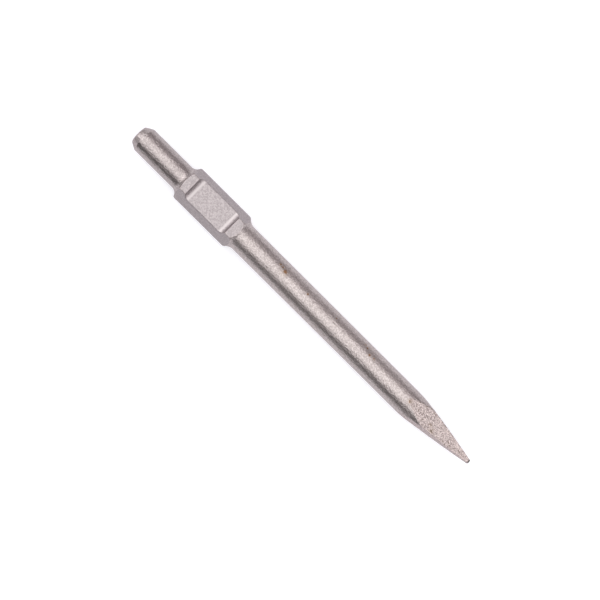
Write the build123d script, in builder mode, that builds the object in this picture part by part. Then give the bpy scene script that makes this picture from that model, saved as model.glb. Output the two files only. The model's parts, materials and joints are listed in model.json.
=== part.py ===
from build123d import *
from math import cos, radians, sqrt, tan
import os

# Bull point chisel for an electric breaker hammer with a 30 mm hexagon tool holder. It is one steel
# forging: a round shank that the hammer strikes, a hexagonal collar with a notch for the hammer's
# retainer, a round body and a four-sided point.
#
# The frame is in millimetres. X runs along the tool's axis from the struck face at X = 0 to the
# point, and +Z is square to the flat that holds the notch. The origin is the centre of the struck
# face.

overall_length = 400.0

# Round shank.
shank_diameter = 24.0
struck_cone_length = 6.6
struck_cone_angle = 29.0
struck_edge_radius = 2.0

# Hexagonal collar, measured where its corners are full. A hollow shoulder leads up to it at each end.
hex_across_flats = 30.0
hex_corner_break = 0.12
collar_start = 57.4
collar_length = 59.2
collar_edge_radius = 0.8
shank_shoulder_radius = 7.0
body_shoulder_radius = 9.0

# Retainer notch, milled across one flat from side to side.
notch_inset = 6.5
notch_length = 46.2
notch_depth = 4.5
notch_end_radius = 6.0

# Round body.
body_diameter = 26.0

# Point, ground to four facets. Each one leaves the body in a crowned shoulder, then runs from its
# knee to the tip in a long and nearly straight taper.
point_length = 79.5
taper_length = 56.5
facet_count = 4
facet_turn = 10.0
knee_half_width = 9.45
knee_radius = 60.0
tip_half_width = 1.75
shoulder_crown = 0.4
taper_crown = 0.25
tip_chamfer = 0.6

# How far a cutting shape runs past the metal that it cuts.
cutter_overrun = 2.0

shank_radius = shank_diameter / 2
body_radius = body_diameter / 2
flat_height = hex_across_flats / 2
collar_radius = flat_height / cos(radians(30)) - hex_corner_break
collar_end = collar_start + collar_length


def arc_run(radius, climb):
    """Length along X in which an arc that starts level gains this height."""
    return sqrt(climb * (2 * radius - climb))


with BuildPart() as bull_point_chisel:
    # Turned blank, from the axis at the struck face round to the axis at the tip.
    struck_edge = (0, shank_radius - struck_cone_length * tan(radians(struck_cone_angle)))
    shank_climb = collar_radius - shank_radius
    shank_shoulder = max(shank_shoulder_radius, shank_climb)
    shank_end = (collar_start - arc_run(shank_shoulder, shank_climb), shank_radius)
    body_climb = collar_radius - body_radius
    body_shoulder = max(body_shoulder_radius, body_climb)
    body_start = (collar_end + arc_run(body_shoulder, body_climb), body_radius)
    collar_corners = [(collar_start, collar_radius), (collar_end, collar_radius)]
    with BuildSketch(Plane.XZ) as blank:
        with BuildLine():
            Polyline((0, 0), struck_edge, (struck_cone_length, shank_radius), shank_end)
            RadiusArc(shank_end, collar_corners[0], -shank_shoulder)
            Line(*collar_corners)
            RadiusArc(collar_corners[1], body_start, -body_shoulder)
            Polyline(body_start, (overall_length, body_radius), (overall_length, 0), (0, 0))
        make_face()
        fillet(blank.vertices().sort_by_distance(struck_edge)[0], struck_edge_radius)
        for corner in collar_corners:
            fillet(blank.vertices().sort_by_distance(corner)[0], collar_edge_radius)
    revolve(axis=Axis.X)

    # Six flats, cut from the collar and its shoulders.
    with BuildSketch(Plane.YZ.offset(shank_end[0])):
        Circle(collar_radius + cutter_overrun)
        RegularPolygon(flat_height, 6, major_radius=False, mode=Mode.SUBTRACT)
    extrude(amount=body_start[0] - shank_end[0], mode=Mode.SUBTRACT)

    # Retainer notch in the upper flat. Its ends curve up from the floor.
    cutter_length = notch_length + 2 * (notch_end_radius - arc_run(notch_end_radius, notch_depth))
    notch_middle = collar_start + notch_inset + notch_length / 2
    with BuildSketch(Plane.XZ) as notch:
        with Locations((notch_middle, flat_height - notch_depth)):
            Rectangle(cutter_length, notch_end_radius + cutter_overrun, align=(Align.CENTER, Align.MIN))
        fillet(notch.vertices().group_by(Axis.Y)[0], notch_end_radius)
    extrude(amount=collar_radius + cutter_overrun, both=True, mode=Mode.SUBTRACT)

    # Point, cut by the same facet at even turns about the axis.
    facet_start = (overall_length - point_length, body_radius)
    knee = (overall_length - taper_length, knee_half_width)
    facet_end = (overall_length, tip_half_width)
    # The crown is low enough for the shoulder to fall all the way from the body.
    crown = min(shoulder_crown, (body_radius - knee_half_width) / 5)
    for facet in range(facet_count):
        with BuildSketch(Plane.XZ.rotated((-facet_turn - facet * 360 / facet_count, 0, 0))) as cutter:
            with BuildLine():
                shoulder = SagittaArc(facet_start, knee, crown)
                taper = SagittaArc(knee, facet_end, taper_crown)
                lead_in = Line(shoulder @ 0, shoulder @ 0 - (shoulder % 0) * 4 * cutter_overrun)
                lead_out = Line(taper @ 1, taper @ 1 + (taper % 1) * cutter_overrun)
                above = body_radius + 2 * cutter_overrun
                Polyline(lead_in @ 1, ((lead_in @ 1).X, above), ((lead_out @ 1).X, above), lead_out @ 1)
            make_face()
            fillet(cutter.vertices().sort_by_distance(knee)[0], knee_radius)
        extrude(amount=body_radius + cutter_overrun, both=True, mode=Mode.SUBTRACT)
    chamfer(bull_point_chisel.faces().sort_by(Axis.X)[-1].edges(), tip_chamfer)

bull_point_chisel.part.label = "bull_point_chisel"

os.makedirs("parts", exist_ok=True)
export_step(bull_point_chisel.part, "parts/bull_point_chisel.step")
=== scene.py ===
import json
from math import acos, ceil, cos, hypot, pi, radians, sin, sqrt, tan

import bpy
from mathutils import Matrix, Vector


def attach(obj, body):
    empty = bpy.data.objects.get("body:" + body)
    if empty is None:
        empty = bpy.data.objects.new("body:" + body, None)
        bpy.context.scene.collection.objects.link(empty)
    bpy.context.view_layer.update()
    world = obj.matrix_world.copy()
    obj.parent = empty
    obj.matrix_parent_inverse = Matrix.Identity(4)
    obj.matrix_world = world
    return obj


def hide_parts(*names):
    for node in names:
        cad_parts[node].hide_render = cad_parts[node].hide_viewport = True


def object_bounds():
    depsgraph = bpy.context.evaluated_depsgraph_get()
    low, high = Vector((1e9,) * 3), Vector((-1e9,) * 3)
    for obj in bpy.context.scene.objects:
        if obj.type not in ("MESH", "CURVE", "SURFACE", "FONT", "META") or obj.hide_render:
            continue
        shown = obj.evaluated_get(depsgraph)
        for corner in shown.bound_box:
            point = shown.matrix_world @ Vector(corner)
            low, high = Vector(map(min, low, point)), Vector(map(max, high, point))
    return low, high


# A bull point chisel for an electric breaker hammer: one steel forging, turned, milled and ground.
# It lies along X, from the struck face at X = 0 to the point, with the notched flat upwards.

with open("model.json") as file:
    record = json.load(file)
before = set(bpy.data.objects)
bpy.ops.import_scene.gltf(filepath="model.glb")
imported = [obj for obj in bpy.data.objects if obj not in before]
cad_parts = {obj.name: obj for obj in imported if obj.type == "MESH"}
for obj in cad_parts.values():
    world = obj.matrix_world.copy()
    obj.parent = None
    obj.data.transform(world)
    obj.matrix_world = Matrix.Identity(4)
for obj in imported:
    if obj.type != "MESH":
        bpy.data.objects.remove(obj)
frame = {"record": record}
cad_low, cad_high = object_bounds()

MM = 0.001
mounts = {mount["name"]: mount for mount in frame["record"]["mounts"]}

# Sizes that the frame states, in metres.
overall_length = cad_high.x - cad_low.x
flat_height = (cad_high.z - cad_low.z) / 2
collar_radius = (cad_high.y - cad_low.y) / 2
shank_radius = mounts["shank"]["dims"]["r_mm"] * MM
shank_length = mounts["shank"]["dims"]["length_mm"] * MM
shank_end = mounts["shank"]["pos_m"][0] + shank_length / 2
notch_middle = mounts["retainer_notch_floor"]["pos_m"][0]
notch_floor = mounts["retainer_notch_floor"]["pos_m"][2]

# The turner's and the grinder's other sizes.
struck_cone_angle = radians(29)
struck_edge_radius = 2 * MM
cone_root_radius = 1.2 * MM
shank_shoulder_radius = 7 * MM
body_shoulder_radius = 9 * MM
collar_end = 116.6 * MM
collar_edge_break = 0.5 * MM
notch_length = 46.2 * MM
notch_end_radius = 6 * MM
body_radius = 13 * MM
point_length = 79.5 * MM
taper_length = 56.5 * MM
facet_count = 4
facet_turn = radians(10)
knee_half_width = 9.45 * MM
tip_half_width = 1.75 * MM
shoulder_crown = 0.4 * MM
taper_crown = 0.25 * MM
tip_nose = 0.7 * MM

# Columns of faces round the bit: a whole number of them fits each flat and each facet.
columns_around = 216


class Term:
    """A value in a node tree, so that a rule reads as a formula."""

    def __init__(self, tree, socket):
        self.tree = tree
        self.socket = socket

    def __add__(self, other):
        return formula(self.tree, "ADD", self, other)

    def __sub__(self, other):
        return formula(self.tree, "SUBTRACT", self, other)

    def __rsub__(self, other):
        return formula(self.tree, "SUBTRACT", other, self)

    def __mul__(self, other):
        return formula(self.tree, "MULTIPLY", self, other)

    def __truediv__(self, other):
        return formula(self.tree, "DIVIDE", self, other)

    __radd__ = __add__
    __rmul__ = __mul__


def plug(tree, port, value):
    """Links a term or a socket to a port, or sets the port to a plain value."""
    if isinstance(value, Term):
        value = value.socket
    if isinstance(value, bpy.types.NodeSocket):
        tree.links.new(value, port)
    else:
        port.default_value = value


def add_node(tree, kind, settings=None, **inputs):
    """Adds a node, sets its properties, and plugs its inputs, whose names have underscores for spaces."""
    node = tree.nodes.new(kind)
    for name, value in (settings or {}).items():
        setattr(node, name, value)
    for name, value in inputs.items():
        label = name.replace("_", " ")
        port = next(port for port in node.inputs if port.enabled and port.name == label)
        plug(tree, port, value)
    return node


def formula(tree, operation, *values):
    node = tree.nodes.new("ShaderNodeMath")
    node.operation = operation
    for port, value in zip(node.inputs, values):
        plug(tree, port, value)
    return Term(tree, node.outputs[0])


def eased_step(tree, value, low, high):
    """0 below low and 1 above high, with a soft slope between them."""
    smooth = {"interpolation_type": "SMOOTHSTEP"}
    node = add_node(tree, "ShaderNodeMapRange", smooth, Value=value, From_Min=low, From_Max=high)
    return Term(tree, node.outputs["Result"])


# ---------------------------------------------------------------- outline of the turned blank


def straight(start, end, spacing):
    """Points after the start, up to and with the end."""
    steps = max(1, ceil(hypot(end[0] - start[0], end[1] - start[1]) / spacing))
    return [
        (start[0] + (end[0] - start[0]) * step / steps, start[1] + (end[1] - start[1]) * step / steps)
        for step in range(1, steps + 1)
    ]


def arc(centre, radius, start_angle, end_angle, spacing):
    """Points after the start of an arc, up to and with its end. Angles are from X towards the radius."""
    steps = max(1, ceil(abs(end_angle - start_angle) * radius / spacing))
    angles = [start_angle + (end_angle - start_angle) * step / steps for step in range(1, steps + 1)]
    return [(centre[0] + radius * cos(angle), centre[1] + radius * sin(angle)) for angle in angles]


def hollow_shoulder_turn(low_radius, shoulder_radius):
    """How far a hollow shoulder's arc turns, from level up to the collar's broken edge."""
    left_to_climb = low_radius + shoulder_radius - collar_radius + collar_edge_break
    return acos(left_to_climb / shoulder_radius)


def turned_outline():
    """Distance along X and radius, from the middle of the struck face to the middle of the tip."""
    cone_length = shank_end - shank_length
    face_edge = shank_radius - cone_length * tan(struck_cone_angle)
    flat_of_face = face_edge - struck_edge_radius * tan((pi / 2 - struck_cone_angle) / 2)
    root_run = cone_root_radius * tan(struck_cone_angle / 2)
    root_middle = (cone_length + root_run, shank_radius - cone_root_radius)
    cone_angle = pi / 2 + struck_cone_angle

    points = [(0, 0)]
    points += straight(points[-1], (0, flat_of_face), 1.0 * MM)
    points += arc((struck_edge_radius, flat_of_face), struck_edge_radius, pi, cone_angle, 0.4 * MM)
    cone_end = arc(root_middle, cone_root_radius, pi / 2, cone_angle, 1)[-1]
    points += straight(points[-1], cone_end, 1.2 * MM)
    points += arc(root_middle, cone_root_radius, cone_angle, pi / 2, 0.5 * MM)
    points += straight(points[-1], (shank_end, shank_radius), 1.4 * MM)

    # Up the hollow shoulder to the collar, with its edge broken.
    points += arc(
        (shank_end, shank_radius + shank_shoulder_radius),
        shank_shoulder_radius,
        -pi / 2,
        hollow_shoulder_turn(shank_radius, shank_shoulder_radius) - pi / 2,
        0.45 * MM,
    )
    points += straight(points[-1], (points[-1][0] + 2 * collar_edge_break, collar_radius), 0.4 * MM)

    # Along the collar, with close rings where the notch drops steeply.
    notch_start = notch_middle - notch_length / 2
    notch_end = notch_middle + notch_length / 2
    for end, spacing in (
        (notch_start - 0.5 * MM, 0.45),
        (notch_start + 1.6 * MM, 0.14),
        (notch_start + notch_end_radius, 0.4),
        (notch_end - notch_end_radius, 1.1),
        (notch_end - 1.6 * MM, 0.4),
        (notch_end + 0.5 * MM, 0.14),
        (collar_end - 2 * collar_edge_break, 0.45),
    ):
        points += straight(points[-1], (end, collar_radius), spacing * MM)

    # Down the second shoulder to the body.
    body_climb = collar_radius - body_radius
    body_start = collar_end + sqrt(body_climb * (2 * body_shoulder_radius - body_climb))
    shoulder = arc(
        (body_start, body_radius + body_shoulder_radius),
        body_shoulder_radius,
        -pi / 2 - hollow_shoulder_turn(body_radius, body_shoulder_radius),
        -pi / 2,
        0.45 * MM,
    )
    points += straight(points[-1], shoulder[0], 0.4 * MM) + shoulder[1:]
    facets_start = overall_length - point_length
    points += straight(points[-1], (facets_start - 4 * MM, body_radius), 1.7 * MM)
    points += straight(points[-1], (overall_length - 2 * tip_nose, body_radius), 0.7 * MM)

    # The blunt tip: shares of its length before the end, and of its corners' radius. The facets cut
    # the first of these rings down to their own size.
    nose_radius = tip_half_width * sqrt(2)
    for before_end, share in ((1, 1.1), (0.5, 0.93), (0.15, 0.75), (0, 0.55)):
        points.append((overall_length - before_end * tip_nose, nose_radius * share))
    points += straight(points[-1], (overall_length, 0), 0.4 * MM)
    return points


# ---------------------------------------------------------------- milling, grinding and surface relief

BIT_INPUTS = (
    ("Columns", "NodeSocketInt", columns_around),
    ("Flat Height", "NodeSocketFloat", flat_height),
    ("Notch Middle", "NodeSocketFloat", notch_middle),
    ("Notch Floor", "NodeSocketFloat", notch_floor),
    ("Notch Half Length", "NodeSocketFloat", notch_length / 2),
    ("Notch End Radius", "NodeSocketFloat", notch_end_radius),
    ("Shoulder Middle X", "NodeSocketFloat", 0.0),
    ("Shoulder Middle Height", "NodeSocketFloat", 0.0),
    ("Shoulder Radius", "NodeSocketFloat", 0.0),
    ("Taper Middle X", "NodeSocketFloat", 0.0),
    ("Taper Middle Height", "NodeSocketFloat", 0.0),
    ("Taper Radius", "NodeSocketFloat", 0.0),
    ("Facet Turn", "NodeSocketFloat", facet_turn),
    ("Edge Softness", "NodeSocketFloat", 0.5 * MM),
    ("Forging Relief", "NodeSocketFloat", 0.06 * MM),
    ("Grinding Relief", "NodeSocketFloat", 0.16 * MM),
    ("Pit Depth", "NodeSocketFloat", 0.25 * MM),
    ("Steel", "NodeSocketMaterial", None),
)


def crowned_arc(start, end, crown):
    """Middle and radius of the circle that joins two points and stands proud of their chord."""
    chord = Vector(end) - Vector(start)
    radius = chord.length_squared / (8 * crown) + crown / 2
    outwards = Vector((-chord.y, chord.x)).normalized()
    middle = Vector(start) + chord / 2 + outwards * (crown - radius)
    return middle, radius


def noise_height(tree, position, scale, stretch=(1, 1, 1), detail=2.0, seed=0.0):
    """Noise from 0 to 1 over a position in metres. The scale is in features per metre."""
    placed = add_node(tree, "ShaderNodeVectorMath", {"operation": "MULTIPLY"})
    plug(tree, placed.inputs[0], position)
    placed.inputs[1].default_value = stretch
    noise = add_node(
        tree,
        "ShaderNodeTexNoise",
        {"noise_dimensions": "4D"},
        Vector=placed.outputs[0],
        W=seed,
        Scale=scale,
        Detail=detail,
    )
    return Term(tree, noise.outputs[0])


def bit_tree():
    """Spins the outline, cuts the flats, the notch and the facets, and adds the surface's relief."""
    tree = bpy.data.node_groups.new("turn_mill_and_grind", "GeometryNodeTree")
    tree.is_modifier = True
    tree.interface.new_socket("Outline", in_out="INPUT", socket_type="NodeSocketGeometry")
    for name, kind, default in BIT_INPUTS:
        made = tree.interface.new_socket(name, in_out="INPUT", socket_type=kind)
        if default is not None:
            made.default_value = default
    tree.interface.new_socket("Bit", in_out="OUTPUT", socket_type="NodeSocketGeometry")
    given = tree.nodes.new("NodeGroupInput")
    size = {name: Term(tree, given.outputs[name]) for name, _, _ in BIT_INPUTS}

    def math(operation, *values):
        return formula(tree, operation, *values)

    # A sheet with one row for each point of the outline, and one column more than go round the bit.
    counted = add_node(tree, "GeometryNodeAttributeDomainSize", Geometry=given.outputs["Outline"])
    columns = size["Columns"] + 1
    sheet = add_node(
        tree, "GeometryNodeMeshGrid", Vertices_X=counted.outputs["Point Count"], Vertices_Y=columns
    )
    index = Term(tree, tree.nodes.new("GeometryNodeInputIndex").outputs[0])
    ring = math("FLOOR", (index + 0.5) / columns)
    column = index - ring * columns
    place = tree.nodes.new("GeometryNodeInputPosition").outputs[0]
    outline = add_node(
        tree,
        "GeometryNodeSampleIndex",
        {"data_type": "FLOAT_VECTOR", "domain": "POINT"},
        Geometry=given.outputs["Outline"],
        Value=place,
        Index=ring,
    )
    sampled = add_node(tree, "ShaderNodeSeparateXYZ", Vector=outline.outputs[0])
    along = Term(tree, sampled.outputs["X"])
    turned = Term(tree, sampled.outputs["Y"])
    angle = column * (2 * pi) / size["Columns"]

    def off_centre(count, first):
        """Angle from the middle of the nearest of some equal sides, where the first faces a given way."""
        side = 2 * pi / count
        return math("FLOORED_MODULO", angle - first + side / 2, side) - side / 2

    # Six flats.
    flats = size["Flat Height"] / math("COSINE", off_centre(6, pi / 2))
    collar = math("SMOOTH_MIN", turned, flats, size["Edge Softness"])

    # The notch: a floor that curves up at each end, cut straight across the upper flat.
    end_radius = size["Notch End Radius"]
    depth = size["Flat Height"] - size["Notch Floor"]
    end_run = math("SQRT", depth * (end_radius * 2 - depth))
    beyond_floor = math("ABSOLUTE", along - size["Notch Middle"]) - size["Notch Half Length"] + end_run
    beyond_floor = math("MINIMUM", math("MAXIMUM", beyond_floor, 0.0), end_radius)
    rise = end_radius - math("SQRT", end_radius * end_radius - beyond_floor * beyond_floor)
    notch = (size["Notch Floor"] + rise) / math("MAXIMUM", math("SINE", angle), 0.3)
    notched = math("SMOOTH_MIN", collar, notch, size["Edge Softness"] * 0.5)

    # The facets: a crowned shoulder, then a long taper from the knee to the tip.
    def crowned_height(name):
        past_middle = math("MAXIMUM", along - size[name + " Middle X"], 0.0)
        rise = math("SQRT", size[name + " Radius"] * size[name + " Radius"] - past_middle * past_middle)
        return size[name + " Middle Height"] + rise

    shoulder, taper = crowned_height("Shoulder"), crowned_height("Taper")
    facet_height = math("SMOOTH_MAX", shoulder, taper, size["Edge Softness"])
    facets = facet_height / math("COSINE", off_centre(facet_count, pi / 2 - size["Facet Turn"]))
    radius = math("SMOOTH_MIN", notched, facets, size["Edge Softness"] * 0.35)

    # Where each kind of work shows, for the relief and the finish.
    in_notch = eased_step(tree, collar - notch, 0.0, 0.3 * MM)
    curving_up = eased_step(tree, beyond_floor, 0.1 * MM, 0.6 * MM)
    nearly_up = eased_step(tree, beyond_floor, 1.8 * MM, 3.4 * MM)
    unrounded = math("MINIMUM", math("MINIMUM", turned, flats), math("MINIMUM", notch, facets))
    marks = {
        "milled": eased_step(tree, math("MAXIMUM", turned - flats, collar - notch), 0.0, 0.3 * MM),
        # The notch's curved end slopes: the finish paints a highlight on them in a lighter colour and
        # lowers their roughness.
        "notch_end": curving_up * (1 - nearly_up) * in_notch,
        "ground": eased_step(tree, notched - facets, 0.0, 0.12 * MM),
        "forged": eased_step(tree, along, collar_end, collar_end + 8 * MM),
        "edge": (unrounded - radius) / (size["Edge Softness"] / 6),
    }
    spun = add_node(
        tree,
        "ShaderNodeCombineXYZ",
        X=along,
        Y=radius * math("COSINE", angle),
        Z=radius * math("SINE", angle),
    )
    shaped = sheet.outputs["Mesh"]
    for name, mark in marks.items():
        kind = {"data_type": "FLOAT", "domain": "POINT"}
        stored = add_node(
            tree, "GeometryNodeStoreNamedAttribute", kind, Geometry=shaped, Name=name, Value=mark
        )
        shaped = stored.outputs[0]
    shaped = add_node(tree, "GeometryNodeSetPosition", Geometry=shaped, Position=spun.outputs[0]).outputs[0]
    shaped = add_node(tree, "GeometryNodeMergeByDistance", Geometry=shaped, Distance=0.002 * MM).outputs[0]
    shaped = add_node(tree, "GeometryNodeFlipFaces", Mesh=shaped).outputs[0]

    # Relief, always inwards: slow forging waves, coarse grinding marks and a few pits on the facets.
    def mark_of(name):
        named = add_node(tree, "GeometryNodeInputNamedAttribute", {"data_type": "FLOAT"}, Name=name)
        return Term(tree, named.outputs[0])

    waves = noise_height(tree, place, 70, detail=1.0, seed=3.0)
    scallops = noise_height(tree, place, 700, stretch=(0.5, 1, 1), detail=2.0, seed=7.0)
    pits = add_node(tree, "ShaderNodeTexVoronoi", {"feature": "F1"}, Vector=place, Scale=210.0)
    pit_pick = add_node(tree, "ShaderNodeSeparateXYZ", Vector=pits.outputs["Color"])
    bowl = 1 - eased_step(tree, Term(tree, pits.outputs["Distance"]), 0.05, 0.26)
    pit = bowl * eased_step(tree, Term(tree, pit_pick.outputs["X"]), 0.55, 0.6)
    inwards = waves * size["Forging Relief"] * (1 - mark_of("milled") * 0.7)
    inwards = inwards + mark_of("ground") * (scallops * size["Grinding Relief"] + pit * size["Pit Depth"])
    normal = tree.nodes.new("GeometryNodeInputNormal").outputs[0]
    scaled = {"operation": "SCALE"}
    sunk = add_node(tree, "ShaderNodeVectorMath", scaled, Vector=normal, Scale=inwards * -1.0)
    shaped = add_node(tree, "GeometryNodeSetPosition", Geometry=shaped, Offset=sunk.outputs[0]).outputs[0]
    shaped = add_node(tree, "GeometryNodeRealizeInstances", Geometry=shaped).outputs[0]
    shaped = add_node(tree, "GeometryNodeSetMaterial", Geometry=shaped, Material=size["Steel"]).outputs[0]
    result = tree.nodes.new("NodeGroupOutput")
    tree.links.new(shaped, result.inputs["Bit"])
    return tree


def make_bit(steel):
    """The whole bit as one closed mesh."""
    outline_mesh = bpy.data.meshes.new("outline")
    points = turned_outline()
    edges = [(step, step + 1) for step in range(len(points) - 1)]
    outline_mesh.from_pydata([(x, radius, 0) for x, radius in points], edges, [])
    outline = bpy.data.objects.new("outline", outline_mesh)
    bpy.context.collection.objects.link(outline)

    knee = (overall_length - taper_length, knee_half_width)
    shoulder = crowned_arc((overall_length - point_length, body_radius), knee, shoulder_crown)
    taper = crowned_arc(knee, (overall_length, tip_half_width), taper_crown)
    given = {"Steel": steel}
    for name, (middle, radius) in (("Shoulder", shoulder), ("Taper", taper)):
        given[name + " Middle X"] = middle.x
        given[name + " Middle Height"] = middle.y
        given[name + " Radius"] = radius
    modifier = outline.modifiers.new("turn_mill_and_grind", "NODES")
    tree = bit_tree()
    modifier.node_group = tree
    for item in tree.interface.items_tree:
        if item.in_out == "INPUT" and item.name in given:
            modifier[item.identifier] = given[item.name]

    evaluated = outline.evaluated_get(bpy.context.evaluated_depsgraph_get())
    mesh = bpy.data.meshes.new_from_object(evaluated)
    mesh.name = "chisel_steel"
    bpy.data.objects.remove(outline)
    mesh.shade_smooth()
    bit = bpy.data.objects.new("chisel_steel", mesh)
    bpy.context.collection.objects.link(bit)
    return bit


# ---------------------------------------------------------------- finish

# Each rust speck: millimetres along the bit, degrees round from its top towards +Y, and its size in
# millimetres.
RUST_PLACES = (
    (169, 20, 1.9),
    (165, 27, 1.0),
    (162, 29, 0.8),
    (196, 20, 0.9),
    (228, 33, 0.8),
    (262, 43, 0.9),
    (265, 37, 1.4),
    (270, 22, 1.1),
    (275, 24, 0.9),
    (323, 4, 1.3),
    (351, -5, 1.1),
    (355, -24, 1.5),
)


def forged_steel():
    """Shot-blasted and ground steel, bare, with rust specks."""
    material = bpy.data.materials.new("forged_steel")
    material.use_nodes = True
    tree = material.node_tree
    tree.nodes.clear()
    place = tree.nodes.new("ShaderNodeTexCoord").outputs["Object"]

    def mark_of(name):
        return Term(tree, add_node(tree, "ShaderNodeAttribute", {"attribute_name": name}).outputs["Fac"])

    marks = ("milled", "notch_end", "ground", "forged", "edge")
    milled, notch_end, ground, forged, edge = (mark_of(name) for name in marks)
    parts = add_node(tree, "ShaderNodeSeparateXYZ", Vector=place)
    along, sideways, upwards = (Term(tree, parts.outputs[axis]) for axis in "XYZ")

    def blend(factor, low, high):
        node = add_node(tree, "ShaderNodeMix", {"data_type": "RGBA"})
        plug(tree, node.inputs[0], factor)
        plug(tree, node.inputs[6], low)
        plug(tree, node.inputs[7], high)
        return node.outputs[2]

    grain = noise_height(tree, place, 900, detail=4.0, seed=1.0)
    peening = noise_height(tree, place, 780, detail=0.0, seed=6.0)
    coarse = noise_height(tree, place, 420, detail=2.0, seed=2.0)
    stain = noise_height(tree, place, 120, detail=4.0, seed=5.0)
    streaks = noise_height(tree, place, 1700, stretch=(0.45, 1, 1), detail=3.0, seed=4.0)

    # Bare steel: blasted on the round parts, greyer on the flats, warm and streaky where it is ground,
    # and bright in flecks along the ground edges.
    speckle = eased_step(tree, grain, 0.38, 0.62)
    streak = eased_step(tree, streaks, 0.36, 0.64)
    turned_steel = blend(speckle, (0.34, 0.299, 0.294, 1), (0.505, 0.453, 0.445, 1))
    forged_body = blend(speckle, (0.37, 0.325, 0.315, 1), (0.56, 0.504, 0.492, 1))
    milled_flat = blend(speckle, (0.33, 0.296, 0.30, 1), (0.45, 0.406, 0.41, 1))
    ground_facet = blend(streak, (0.27, 0.222, 0.213, 1), (0.72, 0.627, 0.607, 1))
    colour = blend(forged, turned_steel, forged_body)
    colour = blend(milled, colour, milled_flat)
    # Painted highlight: the notch's curved end slopes get a lighter colour than the milled flat.
    colour = blend(notch_end, colour, (0.46, 0.42, 0.42, 1))
    colour = blend(ground, colour, ground_facet)
    bright_edge = formula(tree, "MINIMUM", edge * speckle, 1.0) * ground
    colour = blend(bright_edge * 0.6, colour, (0.72, 0.67, 0.64, 1))
    flecks = eased_step(tree, coarse, 0.60, 0.68) * ground
    colour = blend(flecks * 0.8, colour, (0.17, 0.125, 0.10, 1))

    # Rust specks where the blasting missed them, and a faint brown bloom round each.
    bloom = 0.0
    speck = 0.0
    round_the_body = formula(tree, "ARCTAN2", sideways, upwards) * body_radius
    unrolled = add_node(tree, "ShaderNodeCombineXYZ", X=along, Y=round_the_body)
    for x, degrees_round, size in RUST_PLACES:
        near = add_node(tree, "ShaderNodeVectorMath", {"operation": "DISTANCE"})
        plug(tree, near.inputs[0], unrolled.outputs[0])
        near.inputs[1].default_value = (x * MM, radians(degrees_round) * body_radius, 0)
        distance = Term(tree, near.outputs["Value"]) / (size * MM)
        bloom = (1 - eased_step(tree, distance, 0.5, 3.5)) + bloom
        speck = (1 - eased_step(tree, distance + coarse * 2.0, 1.4, 2.1)) + speck
    bloom = formula(tree, "MINIMUM", bloom, 1.0) * eased_step(tree, stain, 0.3, 0.6)
    colour = blend(bloom * 0.35, colour, (0.36, 0.27, 0.19, 1))
    rust = blend(ground, (0.26, 0.125, 0.05, 1), (0.15, 0.115, 0.085, 1))
    colour = blend(formula(tree, "MINIMUM", speck, 1.0) * 0.85, colour, rust)

    # The tip is painted dark, as painted shade on its blunt rounded end, and it is made rougher.
    ragged = along + coarse * 2.0 * MM
    tip = eased_step(tree, ragged, overall_length - 1.6 * MM, overall_length + 0.6 * MM)
    colour = blend(tip * 0.85, colour, (0.10, 0.085, 0.08, 1))

    height = peening * (0.55 - milled * 0.3) + grain * 0.15
    height = height + coarse * forged * 0.15 + ground * streaks * 0.6
    bump = add_node(tree, "ShaderNodeBump", Strength=1.0, Distance=0.6 * MM, Height=height)

    rough = 0.36 + forged * 0.04 + milled * 0.12 - notch_end * 0.08 + ground * 0.06 + tip * 0.3
    shader = add_node(
        tree, "ShaderNodeBsdfPrincipled", Base_Color=colour, Roughness=rough, Normal=bump.outputs[0]
    )
    shader.inputs["Metallic"].default_value = 1.0
    shader.inputs["Specular Tint"].default_value = (0.75, 0.72, 0.75, 1)
    out = tree.nodes.new("ShaderNodeOutputMaterial")
    tree.links.new(shader.outputs[0], out.inputs["Surface"])
    return material


def plain_material(name, colour, roughness, glow=0.0):
    material = bpy.data.materials.new(name)
    material.use_nodes = True
    shader = material.node_tree.nodes["Principled BSDF"]
    shader.inputs["Base Color"].default_value = (*colour, 1)
    shader.inputs["Roughness"].default_value = roughness
    shader.inputs["Emission Color"].default_value = (*colour, 1)
    shader.inputs["Emission Strength"].default_value = glow
    return material


# ---------------------------------------------------------------- floor, light and camera


def make_floor():
    """Plain and pale, and wide enough to have no edge in any view."""
    half = 20.0
    corners = [(-half, -half), (half, -half), (half, half), (-half, half)]
    mesh = bpy.data.meshes.new("floor")
    mesh.from_pydata([(x, y, cad_low.z) for x, y in corners], [], [(0, 1, 2, 3)])
    mesh.materials.append(plain_material("pale_floor", (0.5, 0.5, 0.515), 0.8, glow=1.12))
    floor = bpy.data.objects.new("floor", mesh)
    bpy.context.collection.objects.link(floor)


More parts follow.
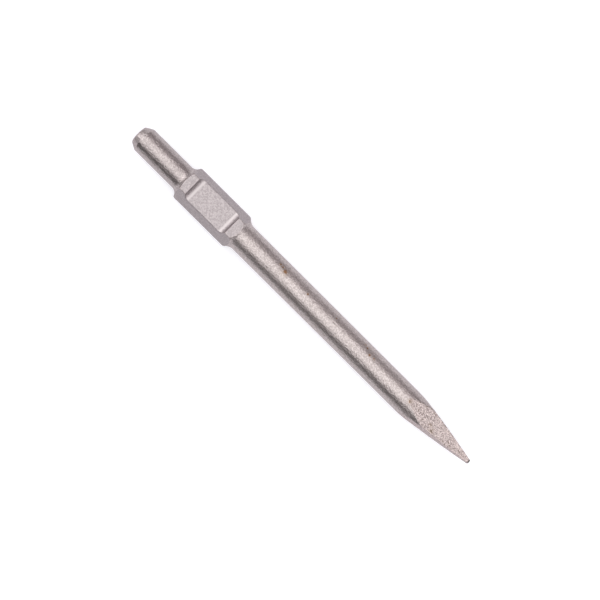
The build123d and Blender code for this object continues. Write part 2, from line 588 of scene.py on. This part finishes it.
def make_sky():
    """A long soft strip of light overhead, in a darker room."""
    world = bpy.data.worlds.new("studio")
    bpy.context.scene.world = world
    world.use_nodes = True
    tree = world.node_tree
    tree.nodes.clear()
    direction = tree.nodes.new("ShaderNodeTexCoord").outputs["Generated"]
    parts = add_node(tree, "ShaderNodeSeparateXYZ", Vector=direction)
    towards_x, towards_y, upwards = (Term(tree, parts.outputs[axis]) for axis in "XYZ")
    height = formula(tree, "MAXIMUM", upwards, 0.02)
    along = towards_x / height
    across = formula(tree, "ABSOLUTE", towards_y / height + 0.05)
    strip = (1 - eased_step(tree, across, 0.3, 1.26)) * (1 - eased_step(tree, along, 1.6, 5.0))
    strip = strip * eased_step(tree, along, -9.0, -3.5)
    struck_side = 1 - eased_step(tree, along, -0.7, -0.15)
    point_side = eased_step(tree, along, 0.05, 0.4)
    room = 0.02 + eased_step(tree, towards_y, -0.3, 0.9) * 0.32
    # The strip is brighter towards the struck end and towards the point.
    strip_glow = 1.38 + struck_side * 1.0 + point_side * 0.5
    glow = strip * strip_glow + room
    tint = add_node(tree, "ShaderNodeMix", {"data_type": "RGBA"})
    plug(tree, tint.inputs[0], strip)
    plug(tree, tint.inputs[6], (1.0, 0.88, 0.92, 1))
    plug(tree, tint.inputs[7], (1.0, 1.0, 1.0, 1))
    back = add_node(tree, "ShaderNodeBackground", Color=tint.outputs[2], Strength=glow)
    out = tree.nodes.new("ShaderNodeOutputWorld")
    tree.links.new(back.outputs[0], out.inputs["Surface"])


def make_lamp(name, place, target, size, power):
    lamp = bpy.data.lights.new(name, "AREA")
    lamp.shape = "SQUARE"
    lamp.size = size
    lamp.energy = power
    holder = bpy.data.objects.new(name, lamp)
    holder.location = place
    holder.rotation_mode = "QUATERNION"
    holder.rotation_quaternion = (Vector(target) - Vector(place)).to_track_quat("-Z", "Y")
    bpy.context.collection.objects.link(holder)


def make_camera():
    """Nearly straight above the bit, which runs from the upper left to the lower right.

    It leans towards the struck end by the tilt and sideways by the roll, and the turn is its own, about
    its line of sight.
    """
    distance = 0.8538
    lens = 59.7
    sensor_width = 36.0
    tilt = radians(4.0)
    roll = radians(2.3)
    turn = radians(44.82)
    aim = Vector((0.1956, -0.0033, 0))
    back = Vector((-sin(tilt), -sin(roll), 1)).normalized()
    along = (Vector((1, 0, 0)) - back * back.x).normalized()
    across = back.cross(along)
    right = along * cos(turn) + across * sin(turn)
    up = across * cos(turn) - along * sin(turn)
    data = bpy.data.cameras.new("camera")
    data.lens = lens
    data.sensor_width = sensor_width
    data.clip_start = 0.01
    camera = bpy.data.objects.new("camera", data)
    facing = Matrix((right, up, back)).transposed().to_4x4()
    camera.matrix_world = Matrix.Translation(aim + back * distance) @ facing
    bpy.context.collection.objects.link(camera)
    bpy.context.scene.camera = camera


bit = make_bit(forged_steel())
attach(bit, "root")
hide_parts("bull_point_chisel")

make_floor()
make_sky()
make_lamp("overhead_softbox", (0.15, 0.0, 1.2), (0.2, 0, 0), 1.1, 0.5)
make_camera()
bpy.context.scene.view_settings.view_transform = "Standard"
